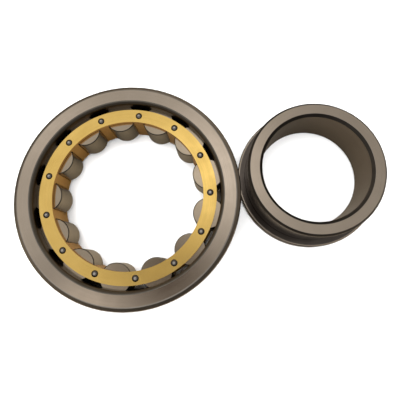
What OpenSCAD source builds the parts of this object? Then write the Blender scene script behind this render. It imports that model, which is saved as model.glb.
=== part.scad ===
// Separable cylindrical roller bearing: an outer ring with two ribs that holds a riveted
// brass cage and its rollers, and an inner ring with one rib that stands beside it, rib down.
// The origin is the centre of the outer ring, on its axis and halfway through its width.

/* [Bearing] */
// Bore of the inner ring
bore_d = 75; // [68:1:76]
// Outside diameter of the outer ring
outer_d = 160; // [158:1:170]
// Width of both rings
width = 37; // [36:0.5:42]
// Gap between the two rings as they lie side by side
rings_apart = 0.7; // [0.6:0.1:40]

/* [Rollers] */
// Number of rollers, and of cage rivets
roller_count = 13; // [8:1:13]
// Diameter of a roller
roller_d = 22; // [20:0.5:22]
// Length of a roller
roller_l = 22; // [18:0.5:23]
// Diameter of the circle through the roller centres
pitch_d = 117.5; // [116:0.5:118]
// Chamfer on a roller's end corners
roller_chamfer = 0.6; // [0.3:0.1:1]
// Angle of the first cage rivet from the +X axis
first_rivet_at = 76.5; // [0:0.5:90]

/* [Outer ring] */
// Height of each rib above the raceway
outer_rib_h = 3.6; // [2:0.1:4]
// Radial size of the outside corner chamfer
outer_chamfer_r = 3; // [1:0.1:4]
// Axial size of the outside corner chamfer
outer_chamfer_z = 2; // [1:0.1:4]
// Broken edge at the mouth of the ribs
outer_rib_edge = 1.8; // [0.2:0.1:2.5]

/* [Inner ring] */
// Height of the rib above the raceway
inner_rib_h = 5.2; // [3:0.1:5.5]
// Corner chamfer at each end of the bore
bore_chamfer = 2; // [0.5:0.1:2.5]
// Corner chamfer at the ring's end without a rib
lead_chamfer = 1.65; // [0.5:0.05:2]
// Broken edges of the rib
inner_rib_edge = 0.6; // [0.2:0.1:1]

/* [Cage] */
// Inside diameter of the cage
cage_bore_d = 107.4; // [107:0.2:108]
// Outside diameter of the cage
cage_d = 126.2; // [124:0.2:128]
// Thickness of each end plate of the cage
plate_t = 2.5; // [2:0.1:3]
// Broken edges of the end plates
cage_edge = 0.3; // [0.1:0.1:0.6]
// Diameter of the circle through the rivets
rivet_circle_d = 117; // [116:0.5:118]
// Diameter of a rivet's shank
rivet_d = 3; // [2:0.1:3.2]
// Diameter of a rivet's domed head
rivet_head_d = 4.8; // [4:0.1:5]
// Height of a rivet's domed head
rivet_head_h = 1.3; // [0.8:0.1:1.6]

/* [Clearances] */
// Radial gap between a roller and a raceway
raceway_gap = 0.05; // [0.02:0.01:0.1]
// Gap between a roller's end and a rib of the outer ring
rib_gap = 0.1; // [0.05:0.01:0.15]
// Radial gap between a roller and its pocket in the cage
pocket_gap = 0.3; // [0.3:0.05:0.5]
// Gap between a roller's end and an end plate of the cage
plate_gap = 0.3; // [0.2:0.05:0.4]

/* [Hidden] */
$fn = 96;
half_w = width / 2;
outer_r = outer_d / 2;
bore_r = bore_d / 2;
roller_r = roller_d / 2;
half_l = roller_l / 2;
pitch_r = pitch_d / 2;
rib_z = half_l + rib_gap;

outer_raceway_r = pitch_r + roller_r + raceway_gap;
outer_rib_r = outer_raceway_r - outer_rib_h;
inner_raceway_r = pitch_r - roller_r - raceway_gap;
inner_rib_r = inner_raceway_r + inner_rib_h;
inner_ring_x = outer_r + inner_rib_r + rings_apart;
groove_depth = 0.4;
groove_w = 1;

pocket_r = roller_r + pocket_gap;
cage_floor_z = half_l + plate_gap;
cage_half_h = cage_floor_z + plate_t;
rivet_head_r = rivet_head_d / 2;
rivet_dome_r = (pow(rivet_head_r, 2) + pow(rivet_head_h, 2)) / (2 * rivet_head_h);

steel = [0.69, 0.65, 0.59];
brass = [0.88, 0.71, 0.38];
overrun = 1;

function two_digits(i) = str(i < 10 ? "0" : "", i);
function roller_name(i) = str("roller_", two_digits(i));
function rivet_name(i) = str("rivet_", two_digits(i));
function rivet_angle(i) = first_rivet_at - (i - 1) * 360 / roller_count;
function roller_angle(i) = rivet_angle(i) - 180 / roller_count;

// Closes a half outline, given as [radius, height] points, with its mirror image below
function both_halves(points) = concat(
    points,
    [for (i = [len(points) - 1 : -1 : 0]) [points[i][0], -points[i][1]]]
);

// Places its children on a circle of radius r, at an angle from +X
module on_circle(r, angle) {
    rotate([0, 0, angle])
        translate([r, 0, 0])
            children();
}

module outer_ring() {
    upper_half = [
        [outer_r, half_w - outer_chamfer_z],
        [outer_r - outer_chamfer_r, half_w],
        [outer_rib_r + outer_rib_edge, half_w],
        [outer_rib_r, half_w - outer_rib_edge],
        [outer_rib_r, rib_z],
        [outer_raceway_r + groove_depth, rib_z],
        [outer_raceway_r + groove_depth, rib_z - groove_w],
        [outer_raceway_r, rib_z - groove_w - groove_depth]
    ];
    color(steel)
        rotate_extrude()
            polygon(both_halves(upper_half));
}

module inner_ring() {
    rib_top = -rib_z;
    color(steel)
        translate([inner_ring_x, 0, 0])
            rotate_extrude()
                polygon([
                    [bore_r + bore_chamfer, -half_w],
                    [inner_rib_r - inner_rib_edge, -half_w],
                    [inner_rib_r, -half_w + inner_rib_edge],
                    [inner_rib_r, rib_top - inner_rib_edge],
                    [inner_rib_r - inner_rib_edge, rib_top],
                    [inner_raceway_r - groove_depth, rib_top],
                    [inner_raceway_r - groove_depth, rib_top + groove_w],
                    [inner_raceway_r, rib_top + groove_w + groove_depth],
                    [inner_raceway_r, half_w - lead_chamfer],
                    [inner_raceway_r - lead_chamfer, half_w],
                    [bore_r + bore_chamfer, half_w],
                    [bore_r, half_w - bore_chamfer],
                    [bore_r, -half_w + bore_chamfer]
                ]);
}

// A flat ring of the cage between two heights, with the edges of its outer end broken
module cage_ring(z_inner, z_end) {
    edge_z = z_end - sign(z_end) * cage_edge;
    rotate_extrude()
        polygon([
            [cage_bore_d / 2, z_inner],
            [cage_d / 2, z_inner],
            [cage_d / 2, edge_z],
            [cage_d / 2 - cage_edge, z_end],
            [cage_bore_d / 2 + cage_edge, z_end],
            [cage_bore_d / 2, edge_z]
        ]);
}

module rivet_holes() {
    hole_l = 2 * (cage_half_h + overrun);
    for (i = [1 : roller_count])
        on_circle(rivet_circle_d / 2, rivet_angle(i))
            cylinder(d = rivet_d, h = hole_l, center = true);
}

// The end plate with its bars, which stand between the open pockets
module cage_body() {
    color(brass)
        difference() {
            cage_ring(cage_floor_z, -cage_half_h);
            for (i = [1 : roller_count])
                on_circle(pitch_r, roller_angle(i))
                    translate([0, 0, -cage_floor_z])
                        cylinder(r = pocket_r, h = 2 * cage_floor_z + overrun);
            rivet_holes();
        }
}

// The end plate that closes the pockets
module cage_cover() {
    color(brass)
        difference() {
            cage_ring(cage_floor_z, cage_half_h);
            rivet_holes();
        }
}

module roller(i) {
    upper_half = [
        [roller_r, half_l - roller_chamfer],
        [roller_r - roller_chamfer, half_l],
        [0, half_l]
    ];
    color(steel)
        on_circle(pitch_r, roller_angle(i))
            rotate_extrude()
                polygon(both_halves(upper_half));
}

// One domed head that rises from z = 0
module rivet_head() {
    intersection() {
        translate([0, 0, rivet_head_h - rivet_dome_r])
            sphere(r = rivet_dome_r);
        cylinder(r = rivet_head_r, h = rivet_head_h + overrun);
    }
}

module rivet(i) {
    color(steel)
        on_circle(rivet_circle_d / 2, rivet_angle(i)) {
            cylinder(d = rivet_d, h = 2 * cage_half_h, center = true);
            for (up = [0, 1])
                mirror([0, 0, 1 - up])
                    translate([0, 0, cage_half_h])
                        rivet_head();
        }
}

outer_ring();
inner_ring();
cage_body();
cage_cover();
for (i = [1 : roller_count]) {
    roller(i);
    rivet(i);
}
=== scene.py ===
"""Looks of a separable cylindrical roller bearing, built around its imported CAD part."""
import math

import bmesh
import bpy
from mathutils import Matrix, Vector


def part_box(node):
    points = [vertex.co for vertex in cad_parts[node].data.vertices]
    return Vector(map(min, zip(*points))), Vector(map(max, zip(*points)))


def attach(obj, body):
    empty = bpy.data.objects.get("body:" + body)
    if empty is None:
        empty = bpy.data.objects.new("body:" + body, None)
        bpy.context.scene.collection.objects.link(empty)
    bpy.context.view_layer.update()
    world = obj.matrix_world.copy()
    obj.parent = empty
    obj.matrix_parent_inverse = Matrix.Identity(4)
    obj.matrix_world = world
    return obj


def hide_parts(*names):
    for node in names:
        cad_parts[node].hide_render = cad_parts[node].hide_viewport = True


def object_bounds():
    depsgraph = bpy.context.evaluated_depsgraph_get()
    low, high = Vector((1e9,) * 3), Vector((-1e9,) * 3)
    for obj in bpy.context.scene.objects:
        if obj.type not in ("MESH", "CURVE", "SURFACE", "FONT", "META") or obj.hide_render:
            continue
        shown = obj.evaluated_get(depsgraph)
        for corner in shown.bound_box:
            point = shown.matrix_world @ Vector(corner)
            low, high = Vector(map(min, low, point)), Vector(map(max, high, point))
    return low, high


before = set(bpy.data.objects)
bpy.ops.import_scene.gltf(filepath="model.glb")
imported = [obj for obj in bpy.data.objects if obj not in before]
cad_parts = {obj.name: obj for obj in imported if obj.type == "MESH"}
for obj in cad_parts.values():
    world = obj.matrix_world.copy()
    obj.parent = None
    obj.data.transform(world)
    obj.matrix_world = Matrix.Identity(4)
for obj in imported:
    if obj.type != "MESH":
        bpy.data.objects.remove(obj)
cad_box = [list(corner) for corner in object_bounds()]

MM = 0.001

# ---------------------------------------------------------------- sizes, in metres

outer_low, outer_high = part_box("outer_ring")
inner_low, inner_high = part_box("inner_ring")
cover_low, cover_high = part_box("cage_cover")
roller_low, roller_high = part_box("roller_01")
rivet_low, rivet_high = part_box("rivet_01")

HALF_WIDTH = outer_high[2]
OUTER_R = outer_high[0]
INNER_X = (inner_low[0] + inner_high[0]) / 2
INNER_RIB_R = (inner_high[0] - inner_low[0]) / 2
CAGE_R = (cover_high[0] - cover_low[0]) / 2
CAGE_TOP = cover_high[2]
CAGE_FLOOR = cover_low[2]
ROLLER_R = (roller_high[0] - roller_low[0]) / 2
ROLLER_HALF_L = roller_high[2]
RIVET_TOP = rivet_high[2]
RIVET_HEAD_R = (rivet_high[0] - rivet_low[0]) / 2

OUTER_RACEWAY_R = 69.8 * MM
OUTER_RIB_R = 66.2 * MM
RIB_Z = 11.1 * MM
GROOVE_DEPTH = 0.4 * MM
GROOVE_WIDTH = 1.0 * MM
OUTER_CHAMFER_R = 3.0 * MM
OUTER_CHAMFER_Z = 2.0 * MM
OUTER_RIB_EDGE = 1.8 * MM

INNER_RACEWAY_R = 47.7 * MM
BORE_R = 37.5 * MM
BORE_CHAMFER = 2.0 * MM
LEAD_CHAMFER = 1.65 * MM
INNER_RIB_EDGE = 0.6 * MM
# Width of the lighter strip on the inner rib's top, a painted highlight.
RIM_WIDTH = 0.8 * MM

ROLLER_CHAMFER = 0.6 * MM
CAGE_BORE_R = 53.7 * MM
POCKET_R = 11.3 * MM
BROKEN_EDGE = 0.25 * MM
RIVET_SHANK_R = 1.5 * MM
FLOOR_GAP = 0.02 * MM

RING_SEGMENTS = 240
ROLLER_SEGMENTS = 96
RIVET_SEGMENTS = 48
RIVET_HOLE_SEGMENTS = 32
ARC_STEPS = 4
STRAIGHT = 1e-6


def centre_of(node):
    """The point on a node's vertical axis at mid-height."""
    low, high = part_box(node)
    return Vector([(a + b) / 2 for a, b in zip(low, high)])


# ---------------------------------------------------------------- mesh helpers

def rounded_outline(corners):
    """Rounds an outline of (radius, height, rounding, surface) corners, walked with the metal on the left.

    Each returned sample is ((radius, height), outward normal, surface of the stretch that follows it).
    A stretch inside a rounded corner has the surface None, which lathe takes as edge. Only a "rib"
    rounding is rib all over.
    """
    samples = []
    count = len(corners)
    for i, (r, z, rounding, surface) in enumerate(corners):
        corner = Vector((r, z))
        before = Vector(corners[i - 1][:2])
        after = Vector(corners[(i + 1) % count][:2])
        into, out = (corner - before).normalized(), (after - corner).normalized()
        normal = Vector((into.y, -into.x))
        turn = math.atan2(into.x * out.y - into.y * out.x, into.dot(out))
        if r == 0:
            flat = out if before.x == 0 else into
            samples.append((corner, Vector((flat.y, -flat.x)), surface))
            continue
        if abs(turn) < STRAIGHT:
            samples.append((corner, normal, surface))
            continue
        side = 1 if turn > 0 else -1
        start = corner - into * rounding * math.tan(abs(turn) / 2)
        middle = start - normal * rounding * side
        for step in range(ARC_STEPS + 1):
            angle = turn * step / ARC_STEPS
            turned = Vector((
                normal.x * math.cos(angle) - normal.y * math.sin(angle),
                normal.x * math.sin(angle) + normal.y * math.cos(angle),
            ))
            follows = surface if step == ARC_STEPS or surface == "rib" else None
            samples.append((middle + turned * rounding * side, turned, follows))
    return samples


def lathe(name, corners, segments, surfaces, place):
    """A smooth body of revolution about its own Z axis. surfaces maps surface names to materials."""
    samples = rounded_outline(corners)
    mesh = bpy.data.meshes.new(name)
    slots = list(surfaces)
    verts, normals, rings = [], [], []
    for (r, z), (nr, nz), _ in samples:
        if r == 0:
            rings.append([len(verts)] * segments)
            verts.append((0, 0, z))
            normals.append((0, 0, math.copysign(1, nz)))
            continue
        ring = []
        for j in range(segments):
            c, s = math.cos(2 * math.pi * j / segments), math.sin(2 * math.pi * j / segments)
            ring.append(len(verts))
            verts.append((r * c, r * s, z))
            normals.append((nr * c, nr * s, nz))
        rings.append(ring)
    faces, face_slots = [], []
    for i, (_, _, surface) in enumerate(samples):
        low, high = rings[i], rings[(i + 1) % len(rings)]
        if low[0] == low[1] and high[0] == high[1]:
            continue
        for j in range(segments):
            k = (j + 1) % segments
            face = list(dict.fromkeys((low[j], low[k], high[k], high[j])))
            faces.append(face)
            face_slots.append(slots.index(surface or "edge"))
    mesh.from_pydata(verts, [], faces)
    for material in surfaces.values():
        mesh.materials.append(material)
    for polygon, slot in zip(mesh.polygons, face_slots):
        polygon.material_index = slot
        polygon.use_smooth = True
    mesh.normals_split_custom_set_from_vertices(normals)
    piece = bpy.data.objects.new(name, mesh)
    piece.location = place
    bpy.context.scene.collection.objects.link(piece)
    return piece


# ---------------------------------------------------------------- materials

LINES_ROUND = 22
CLOUDS_PER_METRE = 85.0
GRAIN_SHARE = 0.55
MARK_DEPTH = 0.02 * MM


def node(tree, kind, inputs=None, **settings):
    """Adds a shader node, sets its properties and sets or links its inputs."""
    made = tree.nodes.new(kind)
    for key, value in settings.items():
        setattr(made, key, value)
    for key, value in (inputs or {}).items():
        if isinstance(value, bpy.types.NodeSocket):
            tree.links.new(value, made.inputs[key])
        else:
            made.inputs[key].default_value = value
    return made


def math_node(tree, operation, a, b=0.0):
    return node(tree, "ShaderNodeMath", {0: a, 1: b}, operation=operation).outputs[0]


def vector_math(tree, operation, a, b):
    return node(tree, "ShaderNodeVectorMath", {0: a, 1: b}, operation=operation).outputs[0]


def scaled(tree, vector, factor):
    return node(tree, "ShaderNodeVectorMath", {0: vector, "Scale": factor}, operation="SCALE").outputs[0]


def dot(tree, way, vector):
    """The dot product of a direction with a fixed vector."""
    return node(tree, "ShaderNodeVectorMath", {0: way, 1: vector}, operation="DOT_PRODUCT").outputs["Value"]


def grain_vector(tree, across, along):
    """Coordinates that run fast across turning marks and slowly along them, round the piece's Z axis."""
    place = node(tree, "ShaderNodeTexCoord").outputs["Object"]
    xyz = node(tree, "ShaderNodeSeparateXYZ", {0: place}).outputs
    squares = math_node(tree, "ADD", math_node(tree, "MULTIPLY", xyz[0], xyz[0]),
                        math_node(tree, "MULTIPLY", xyz[1], xyz[1]))
    reach = math_node(tree, "ADD", math_node(tree, "SQRT", squares), xyz[2])
    return node(tree, "ShaderNodeCombineXYZ", {
        0: math_node(tree, "MULTIPLY", reach, across),
        1: math_node(tree, "MULTIPLY", xyz[0], along),
        2: math_node(tree, "MULTIPLY", xyz[1], along),
    }).outputs[0]


def machined(name, light, dark, roughness, spread=0.08, marks=0.5, lines=3200, tangent=0.4):
    """Machined metal with fine circular marks, cloudy stains and uneven gloss.

    Its colour lies between light and dark, and its roughness within spread of the given one. marks is
    the strength of the turning marks and lines about their number per metre. tangent is how far
    highlights stretch round Z.
    """
    material = bpy.data.materials.new(name)
    material.use_nodes = True
    tree = material.node_tree
    shader = tree.nodes["Principled BSDF"]
    shader.inputs["Metallic"].default_value = 1.0
    shader.inputs["Anisotropic"].default_value = tangent
    grain = node(tree, "ShaderNodeTexNoise", {
        "Vector": grain_vector(tree, lines, LINES_ROUND), "Scale": 1.0,
        "Detail": 5.0, "Roughness": 0.62}).outputs["Fac"]
    place = node(tree, "ShaderNodeTexCoord").outputs["Object"]
    clouds = node(tree, "ShaderNodeTexNoise", {
        "Vector": place, "Scale": CLOUDS_PER_METRE, "Detail": 4.0, "Roughness": 0.55}).outputs["Fac"]
    mixed = math_node(tree, "ADD", math_node(tree, "MULTIPLY", grain, GRAIN_SHARE),
                      math_node(tree, "MULTIPLY", clouds, 1 - GRAIN_SHARE))
    ramp = node(tree, "ShaderNodeValToRGB", {"Fac": mixed})
    ramp.color_ramp.elements[0].position = 0.32
    ramp.color_ramp.elements[0].color = (*dark, 1)
    ramp.color_ramp.elements[1].position = 0.66
    ramp.color_ramp.elements[1].color = (*light, 1)
    tree.links.new(ramp.outputs["Color"], shader.inputs["Base Color"])
    gloss = node(tree, "ShaderNodeMapRange", {
        "Value": mixed, "From Min": 0.3, "From Max": 0.7,
        "To Min": roughness + spread, "To Max": roughness - spread}).outputs["Result"]
    tree.links.new(gloss, shader.inputs["Roughness"])
    bump = node(tree, "ShaderNodeBump", {
        "Height": grain, "Strength": marks, "Distance": MARK_DEPTH}).outputs["Normal"]
    tree.links.new(bump, shader.inputs["Normal"])
    if tangent:
        around = node(tree, "ShaderNodeTangent", direction_type="RADIAL", axis="Z").outputs[0]
        tree.links.new(around, shader.inputs["Tangent"])
    return material


STEEL_FACE = machined("ground_steel_face", (0.455, 0.375, 0.295), (0.395, 0.325, 0.25), 0.14,
                      spread=0.05, marks=0.3)
STEEL_SIDE = machined("ground_steel_side", (0.46, 0.39, 0.32), (0.38, 0.32, 0.26), 0.22)
# The bore's steel is a darker copy of the ground steel: painted shade.
STEEL_BORE_PAINTED_SHADE = machined("ground_steel_bore_painted_shade", (0.31, 0.265, 0.215), (0.25, 0.21, 0.17), 0.20)
# The rim's steel is lighter than the rib top it borders: a painted highlight.
RIM = machined("rim_steel_painted_highlight", (0.40, 0.335, 0.265), (0.30, 0.25, 0.20), 0.20,
               spread=0.05, marks=0.4)
# The rib wall's steel is darkened: painted shade in the rib bores and mouths.
RIB_WALL_PAINTED_SHADE = machined("turned_rib_wall_painted_shade", (0.20, 0.18, 0.15), (0.14, 0.125, 0.105), 0.38,
                    marks=0.6, lines=1800)
# The raceway's steel is darkened: painted shade.
RACEWAY = machined("raceway_steel_painted_shade", (0.10, 0.083, 0.07), (0.06, 0.05, 0.042), 0.16,
                   spread=0.06, marks=0.4)
# This steel is darkened for chamfers, grooves and corners: painted shade.
STEEL_PAINTED_SHADE = machined("turned_steel_painted_shade", (0.11, 0.10, 0.09), (0.065, 0.06, 0.053), 0.38,
                      marks=0.9, lines=1800)
STEEL_EDGE = machined("worn_steel_edge", (0.38, 0.335, 0.285), (0.30, 0.265, 0.225), 0.22,
                      marks=0.3, tangent=0.0)
ROLLER_END = machined("ground_roller_end", (0.41, 0.335, 0.245), (0.34, 0.27, 0.195), 0.17,
                      spread=0.04, marks=0.25)
ROLLER_SIDE = machined("ground_roller_side", (0.60, 0.53, 0.41), (0.52, 0.46, 0.35), 0.20, marks=0.3)
BRASS = machined("turned_brass", (0.87, 0.585, 0.172), (0.755, 0.495, 0.133), 0.23,
                 spread=0.06, marks=0.4)
# The milled walls' brass is brighter and more orange than the turned brass: painted bounce light.
BRASS_PAINTED_BOUNCE = machined("milled_brass_painted_bounce", (0.98, 0.60, 0.19), (0.90, 0.50, 0.14), 0.34, tangent=0.0)
# The rivet's steel is darkened: painted shade; its crown's steel is lighter: a painted highlight.
RIVET_PAINTED_SHADE = machined("formed_rivet_steel_painted_shade", (0.24, 0.22, 0.20), (0.15, 0.14, 0.13), 0.09,
                       spread=0.03, marks=0.15, tangent=0.0, lines=900)
RIVET_PAINTED_HIGHLIGHT = machined("rivet_crown_painted_highlight", (0.50, 0.465, 0.415), (0.40, 0.37, 0.33), 0.10,
                       spread=0.03, marks=0.15, tangent=0.0, lines=900)


# ---------------------------------------------------------------- pieces

def make_outer_ring():
    """The ring round the rollers: a raceway between two ribs, rounded mouths and rounded shoulders."""
    shoulder, mouth_top, mouth_end, fine = 2.0 * MM, 1.5 * MM, 1.9 * MM, 0.1 * MM
    chamfer_end_r = OUTER_R - OUTER_CHAMFER_R
    mouth_r = OUTER_RIB_R + OUTER_RIB_EDGE
    shoulder_z = HALF_WIDTH - OUTER_CHAMFER_Z
    rib_mouth_z = HALF_WIDTH - OUTER_RIB_EDGE
    groove_r = OUTER_RACEWAY_R + GROOVE_DEPTH
    groove_z = RIB_Z - GROOVE_WIDTH
    run_out_z = groove_z - GROOVE_DEPTH
    corners = [
        (OUTER_R, -shoulder_z, shoulder, "side"),
        (OUTER_R, shoulder_z, shoulder, "edge"),
        (chamfer_end_r, HALF_WIDTH, shoulder, "face"),
        (mouth_r, HALF_WIDTH, mouth_top, "rib"),
        (OUTER_RIB_R, rib_mouth_z, mouth_end, "rib"),
        (OUTER_RIB_R, RIB_Z, fine, "dark"),
        (groove_r, RIB_Z, fine, "dark"),
        (groove_r, groove_z, fine, "dark"),
        (OUTER_RACEWAY_R, run_out_z, fine, "raceway"),
        (OUTER_RACEWAY_R, -run_out_z, fine, "dark"),
        (groove_r, -groove_z, fine, "dark"),
        (groove_r, -RIB_Z, fine, "dark"),
        (OUTER_RIB_R, -RIB_Z, fine, "rib"),
        (OUTER_RIB_R, -rib_mouth_z, mouth_end, "rib"),
        (mouth_r, -HALF_WIDTH, mouth_top, "face"),
        (chamfer_end_r, -HALF_WIDTH, shoulder, "edge"),
    ]
    # rib, dark and raceway are darker steel, painted shade.
    surfaces = {"face": STEEL_FACE, "side": STEEL_SIDE, "raceway": RACEWAY, "rib": RIB_WALL_PAINTED_SHADE,
                "dark": STEEL_PAINTED_SHADE, "edge": STEEL_EDGE}
    piece = lathe("outer_ring_turned", corners, RING_SEGMENTS, surfaces, (0, 0, 0))
    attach(piece, "outer_ring")
    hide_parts("outer_ring")


def make_inner_ring():
    """The ring that stands beside the outer one, its rib at the bottom with a light rim on top: a painted
    highlight on the rim, painted shade on the rest of the rib.
    """
    soft, lead_in, fine = 0.2 * MM, 0.5 * MM, 0.1 * MM
    chamfer_r = BORE_R + BORE_CHAMFER
    chamfer_z = HALF_WIDTH - BORE_CHAMFER
    rib_edge_r = INNER_RIB_R - INNER_RIB_EDGE
    groove_r = INNER_RACEWAY_R - GROOVE_DEPTH
    groove_z = GROOVE_WIDTH - RIB_Z
    corners = [
        (chamfer_r, -HALF_WIDTH, soft, "face"),
        (rib_edge_r, -HALF_WIDTH, soft, "edge"),
        (INNER_RIB_R, -HALF_WIDTH + INNER_RIB_EDGE, soft, "side"),
        (INNER_RIB_R, -RIB_Z - INNER_RIB_EDGE, soft, "rim"),
        (rib_edge_r, -RIB_Z, soft, "rim"),
        (rib_edge_r - RIM_WIDTH, -RIB_Z, fine, "raceway"),
        (groove_r, -RIB_Z, fine, "dark"),
        (groove_r, groove_z, fine, "dark"),
        (INNER_RACEWAY_R, groove_z + GROOVE_DEPTH, fine, "raceway"),
        (INNER_RACEWAY_R, HALF_WIDTH - LEAD_CHAMFER, lead_in, "dark"),
        (INNER_RACEWAY_R - LEAD_CHAMFER, HALF_WIDTH, soft, "face"),
        (chamfer_r, HALF_WIDTH, soft, "dark"),
        (BORE_R, chamfer_z, soft, "bore"),
        (BORE_R, -chamfer_z, soft, "dark"),
    ]
    # rim is lighter steel, a painted highlight; raceway, side, bore and dark are darker steel, painted
    # shade.
    surfaces = {"face": STEEL_FACE, "side": RIB_WALL_PAINTED_SHADE, "bore": STEEL_BORE_PAINTED_SHADE, "raceway": RACEWAY,
                "rim": RIM, "dark": STEEL_PAINTED_SHADE, "edge": STEEL_EDGE}
    piece = lathe("inner_ring_turned", corners, RING_SEGMENTS, surfaces, (INNER_X, 0, 0))
    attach(piece, "inner_ring")
    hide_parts("inner_ring")


def make_roller(node_name):
    """A roller with ground ends and side, and a chamfer between them painted dark as shade."""
    soft = 0.15 * MM
    end_r = ROLLER_R - ROLLER_CHAMFER
    side_z = ROLLER_HALF_L - ROLLER_CHAMFER
    corners = [
        (0, -ROLLER_HALF_L, 0, "end"),
        (end_r, -ROLLER_HALF_L, soft, "chamfer"),
        (ROLLER_R, -side_z, soft, "side"),
        (ROLLER_R, side_z, soft, "chamfer"),
        (end_r, ROLLER_HALF_L, soft, "end"),
        (0, ROLLER_HALF_L, 0, "end"),
    ]
    surfaces = {"end": ROLLER_END, "side": ROLLER_SIDE, "chamfer": STEEL_PAINTED_SHADE, "edge": ROLLER_SIDE}
    centre = centre_of(node_name)
    piece = lathe(node_name + "_ground", corners, ROLLER_SEGMENTS, surfaces, (centre.x, centre.y, 0))
    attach(piece, node_name)
    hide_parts(node_name)


def make_rivet(node_name):
    """A rivet with two domed heads. The upper one is painted in steps: a dark skirt as a painted shadow
    ring, darkened steel as painted shade, and a bright crown as a painted highlight.
    """
    head_h = RIVET_TOP - CAGE_TOP
    dome_r = (RIVET_HEAD_R ** 2 + head_h ** 2) / (2 * head_h)
    reach = math.asin(RIVET_HEAD_R / dome_r)
    fine = 0.02 * MM
    # Painted light on the dome: shadow at the skirt, shade in the middle, a highlight on the crown.
    surface_of_step = ["skirt"] * 2 + ["head"] * 3 + ["crown"] * 2
    dome = []
    for i, surface in enumerate(surface_of_step):
        angle = reach * (1 - i / len(surface_of_step))
        drop = dome_r * (1 - math.cos(angle))
        dome.append((dome_r * math.sin(angle), RIVET_TOP - drop, fine, surface))
    corners = [(0, -RIVET_TOP, 0, "crown")]
    corners += [(r, -z, rounding, "head") for r, z, rounding, _ in reversed(dome)]
    corners += [
        (RIVET_SHANK_R, -CAGE_TOP, fine, "head"),
        (RIVET_SHANK_R, CAGE_TOP, fine, "head"),
    ]
    corners += dome + [(0, RIVET_TOP, 0, "crown")]
    centre = centre_of(node_name)
    surfaces = {"head": RIVET_PAINTED_SHADE, "skirt": STEEL_PAINTED_SHADE, "crown": RIVET_PAINTED_HIGHLIGHT, "edge": RIVET_PAINTED_SHADE}
    piece = lathe(node_name + "_formed", corners, RIVET_SEGMENTS, surfaces, (centre.x, centre.y, 0))
    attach(piece, "cage")
    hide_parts(node_name)


ROLLERS = sorted(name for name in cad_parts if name.startswith("roller_"))
RIVETS = sorted(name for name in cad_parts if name.startswith("rivet_"))


def cylinder_into(mesh, centre, radius, low, high, segments):
    """Adds a closed upright cylinder to a bmesh."""
    made = bmesh.ops.create_cone(mesh, cap_ends=True, segments=segments, radius1=radius, radius2=radius,
                                 depth=high - low)
    bmesh.ops.translate(mesh, verts=made["verts"], vec=(centre.x, centre.y, (low + high) / 2))


def brass_object(name, built):
    """Turns a bmesh into an object with turned faces in slot 0 and milled walls in slot 1, whose brighter,
    more orange brass is painted bounce light.
    """
    mesh = bpy.data.meshes.new(name)
    for face in built.faces:
        face.smooth = True
    built.to_mesh(mesh)
    built.free()
    mesh.materials.append(BRASS)
    mesh.materials.append(BRASS_PAINTED_BOUNCE)
    made = bpy.data.objects.new(name, mesh)
    bpy.context.scene.collection.objects.link(made)
    return made


def cage_ring(name, low, high, cuts):
    """A brass ring of the cage with cylinders cut out of it and its sharp edges broken."""
    ring = bmesh.new()
    outline = [(CAGE_BORE_R, low), (CAGE_R, low), (CAGE_R, high), (CAGE_BORE_R, high)]
    loops = []
    for r, z in outline:
        loops.append([ring.verts.new((r * math.cos(2 * math.pi * j / RING_SEGMENTS),
                                      r * math.sin(2 * math.pi * j / RING_SEGMENTS), z))
                      for j in range(RING_SEGMENTS)])
    for i, lower in enumerate(loops):
        upper = loops[(i + 1) % len(loops)]
        for j in range(RING_SEGMENTS):
            k = (j + 1) % RING_SEGMENTS
            face = ring.faces.new((lower[j], lower[k], upper[k], upper[j]))
            face.material_index = i % 2
    bmesh.ops.recalc_face_normals(ring, faces=ring.faces)
    piece = brass_object(name, ring)

    tool = bmesh.new()
    for cut in cuts:
        cylinder_into(tool, *cut)
    for face in tool.faces:
        face.material_index = 1
    cutter = brass_object("cage_cutter", tool)

    boolean = piece.modifiers.new("cut", "BOOLEAN")
    boolean.operation, boolean.solver, boolean.object = "DIFFERENCE", "EXACT", cutter
    bevel = piece.modifiers.new("edges", "BEVEL")
    bevel.width, bevel.segments, bevel.limit_method = BROKEN_EDGE, 3, "ANGLE"
    bevel.angle_limit = math.radians(40)
    flat = piece.modifiers.new("flat", "WEIGHTED_NORMAL")
    flat.weight = 100
    graph = bpy.context.evaluated_depsgraph_get()
    applied = bpy.data.meshes.new_from_object(piece.evaluated_get(graph), preserve_all_data_layers=True,
                                              depsgraph=graph)
    piece.modifiers.clear()
    piece.data = applied
    applied.name = name
    bpy.data.objects.remove(cutter)
    return piece


def make_cage():
    """The cage body with its pockets and the cover on it, both drilled for the rivets."""
    margin = 1 * MM
    holes = [
        (centre_of(name), RIVET_SHANK_R, -CAGE_TOP - margin, CAGE_TOP + margin, RIVET_HOLE_SEGMENTS)
        for name in RIVETS
    ]
    pockets = [
        (centre_of(name), POCKET_R, -CAGE_FLOOR, CAGE_FLOOR + margin, ROLLER_SEGMENTS)
        for name in ROLLERS
    ]
    body = cage_ring("cage_body_milled", -CAGE_TOP, CAGE_FLOOR, holes + pockets)
    cover = cage_ring("cage_cover_turned", CAGE_FLOOR, CAGE_TOP, holes)
    for piece, node_name in ((body, "cage_body"), (cover, "cage_cover")):
        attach(piece, "cage")
        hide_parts(node_name)


make_outer_ring()
make_inner_ring()
make_cage()
for roller_name in ROLLERS:
    make_roller(roller_name)
for rivet_name in RIVETS:
    make_rivet(rivet_name)


# ---------------------------------------------------------------- studio

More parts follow.
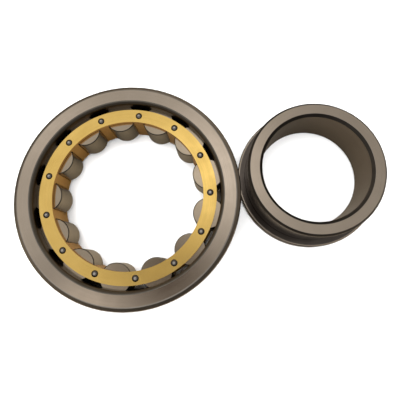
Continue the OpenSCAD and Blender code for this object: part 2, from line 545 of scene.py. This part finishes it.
def make_floor():
    """A pale floor, which reflections show as a dim brown that falls off towards +Y: painted shade."""
    floor_mesh = bpy.data.meshes.new("floor")
    reach = 3.0
    pale, brown = (0.9, 0.9, 0.9, 1), (0.18, 0.155, 0.124)
    corners = [(-reach, -reach, 0), (reach, -reach, 0), (reach, reach, 0), (-reach, reach, 0)]
    floor_mesh.from_pydata(corners, [], [(0, 1, 2, 3)])
    floor = bpy.data.objects.new("floor", floor_mesh)
    floor.location.z = cad_box[0][2] - FLOOR_GAP
    bpy.context.scene.collection.objects.link(floor)
    material = bpy.data.materials.new("pale_floor")
    material.use_nodes = True
    tree = material.node_tree
    shader = tree.nodes["Principled BSDF"]
    shader.inputs["Roughness"].default_value = 0.9
    shader.inputs["Specular IOR Level"].default_value = 0.0
    place = node(tree, "ShaderNodeNewGeometry").outputs["Position"]
    y = node(tree, "ShaderNodeSeparateXYZ", {0: place}).outputs["Y"]
    # Painted shade: the floor shows darker in reflections towards +Y.
    reflected_shade_falloff = node(tree, "ShaderNodeMapRange", {
        "Value": y, "From Min": -0.06, "From Max": 0.06, "To Min": 1.5, "To Max": 0.45}).outputs["Result"]
    dim = scaled(tree, brown, reflected_shade_falloff)
    reflected = node(tree, "ShaderNodeLightPath").outputs["Is Glossy Ray"]
    tone = node(tree, "ShaderNodeMixRGB", {"Fac": reflected, "Color1": pale, "Color2": dim}).outputs[0]
    tree.links.new(tone, shader.inputs["Base Color"])
    floor_mesh.materials.append(material)


def floor_light(name, at, size, radiance, aim=(0.05, 0, 0)):
    """A soft disk light that brightens the floor without showing in the metal."""
    data = bpy.data.lights.new(name, "AREA")
    data.shape = "DISK"
    data.size = size
    data.energy = radiance * math.pi * math.pi * (size / 2) ** 2
    light = bpy.data.objects.new(name, data)
    light.location = at
    light.rotation_euler = (Vector(at) - Vector(aim)).to_track_quat("Z", "Y").to_euler()
    light.visible_camera = False
    light.visible_glossy = False
    bpy.context.scene.collection.objects.link(light)


def make_camera():
    """Nearly overhead, as in the photograph."""
    data = bpy.data.cameras.new("camera")
    data.lens = 33.845
    data.sensor_width = 36
    data.shift_y = -0.0276
    data.clip_start = 0.01
    camera = bpy.data.objects.new("camera", data)
    camera.location = (0.05417, -0.05656, 0.2722)
    camera.rotation_euler = [math.radians(a) for a in (11.46, 2.115, -7.251)]
    bpy.context.scene.collection.objects.link(camera)
    bpy.context.scene.camera = camera


def glow(tree, way, toward, spread, colour):
    """A soft patch of the sky: its direction, how wide it is in degrees, and the colour it adds."""
    off_axis = math_node(tree, "SUBTRACT", dot(tree, way, Vector(toward).normalized()), 1.0)
    falling = math_node(tree, "MULTIPLY", off_axis, math.radians(spread) ** -2)
    return scaled(tree, colour, math_node(tree, "EXPONENT", falling))


def make_world():
    """A pale light tent overhead with three bright panels, two dark gaps and a dim horizon.

    The camera itself sees a plain pale backdrop instead.
    """
    world = bpy.data.worlds.new("studio")
    world.use_nodes = True
    tree = world.node_tree
    way = node(tree, "ShaderNodeTexCoord").outputs["Generated"]
    z = node(tree, "ShaderNodeSeparateXYZ", {0: way}).outputs["Z"]
    patches = [
        ((0.01, 0.25, 1), 5.8, (0.98, 0.98, 0.98)),
        ((-0.43, 0.48, 1), 4.2, (0.36, 0.35, 0.34)),
        ((-0.35, -0.08, 1), 2.6, (0.55, 0.50, 0.46)),
        ((-0.12, 0.00, 1), 5.2, (-0.69, -0.72, -0.74)),
        ((-0.43, 0.03, 1), 2.3, (-0.33, -0.33, -0.33)),
    ]
    darkest = (0.04, 0.034, 0.028)
    horizon_tint = (1.0, 0.88, 0.74)
    backdrop = (0.92, 0.92, 0.92, 1)
    level = math_node(tree, "ADD", dot(tree, way, (-0.26, -0.12, 0)), 0.71)
    above = node(tree, "ShaderNodeCombineXYZ", {0: level, 1: level, 2: level}).outputs[0]
    for toward, spread, colour in patches:
        above = vector_math(tree, "ADD", above, glow(tree, way, toward, spread, colour))
    above = vector_math(tree, "MAXIMUM", above, darkest)
    dim = math_node(tree, "ADD", dot(tree, way, (-0.05, 0.20, 0)), 0.28)
    horizon = vector_math(tree, "MAXIMUM", scaled(tree, horizon_tint, dim), darkest)
    height = node(tree, "ShaderNodeMapRange", {"Value": z, "From Min": 0.45, "From Max": 0.85},
                  interpolation_type="SMOOTHSTEP").outputs["Result"]
    both = node(tree, "ShaderNodeMixRGB", {"Fac": height, "Color1": horizon, "Color2": above}).outputs[0]
    seen = node(tree, "ShaderNodeLightPath").outputs["Is Camera Ray"]
    shown = node(tree, "ShaderNodeMixRGB", {"Fac": seen, "Color1": both, "Color2": backdrop}).outputs[0]
    tree.links.new(shown, tree.nodes["Background"].inputs["Color"])
    bpy.context.scene.world = world


make_floor()
make_world()
make_camera()
floor_light("floor_key", (-0.15, 0.45, 0.9), 0.8, 4.4)
floor_light("floor_right", (0.75, 0.15, 0.8), 0.8, 3.4)
floor_light("floor_left", (-0.65, -0.20, 0.8), 0.8, 3.4)
floor_light("floor_low", (0.10, -0.70, 0.8), 0.8, 3.4)
floor_light("floor_top", (0.05, 0.0, 1.0), 0.9, 3.4)
bpy.context.scene.view_settings.view_transform = "Standard"
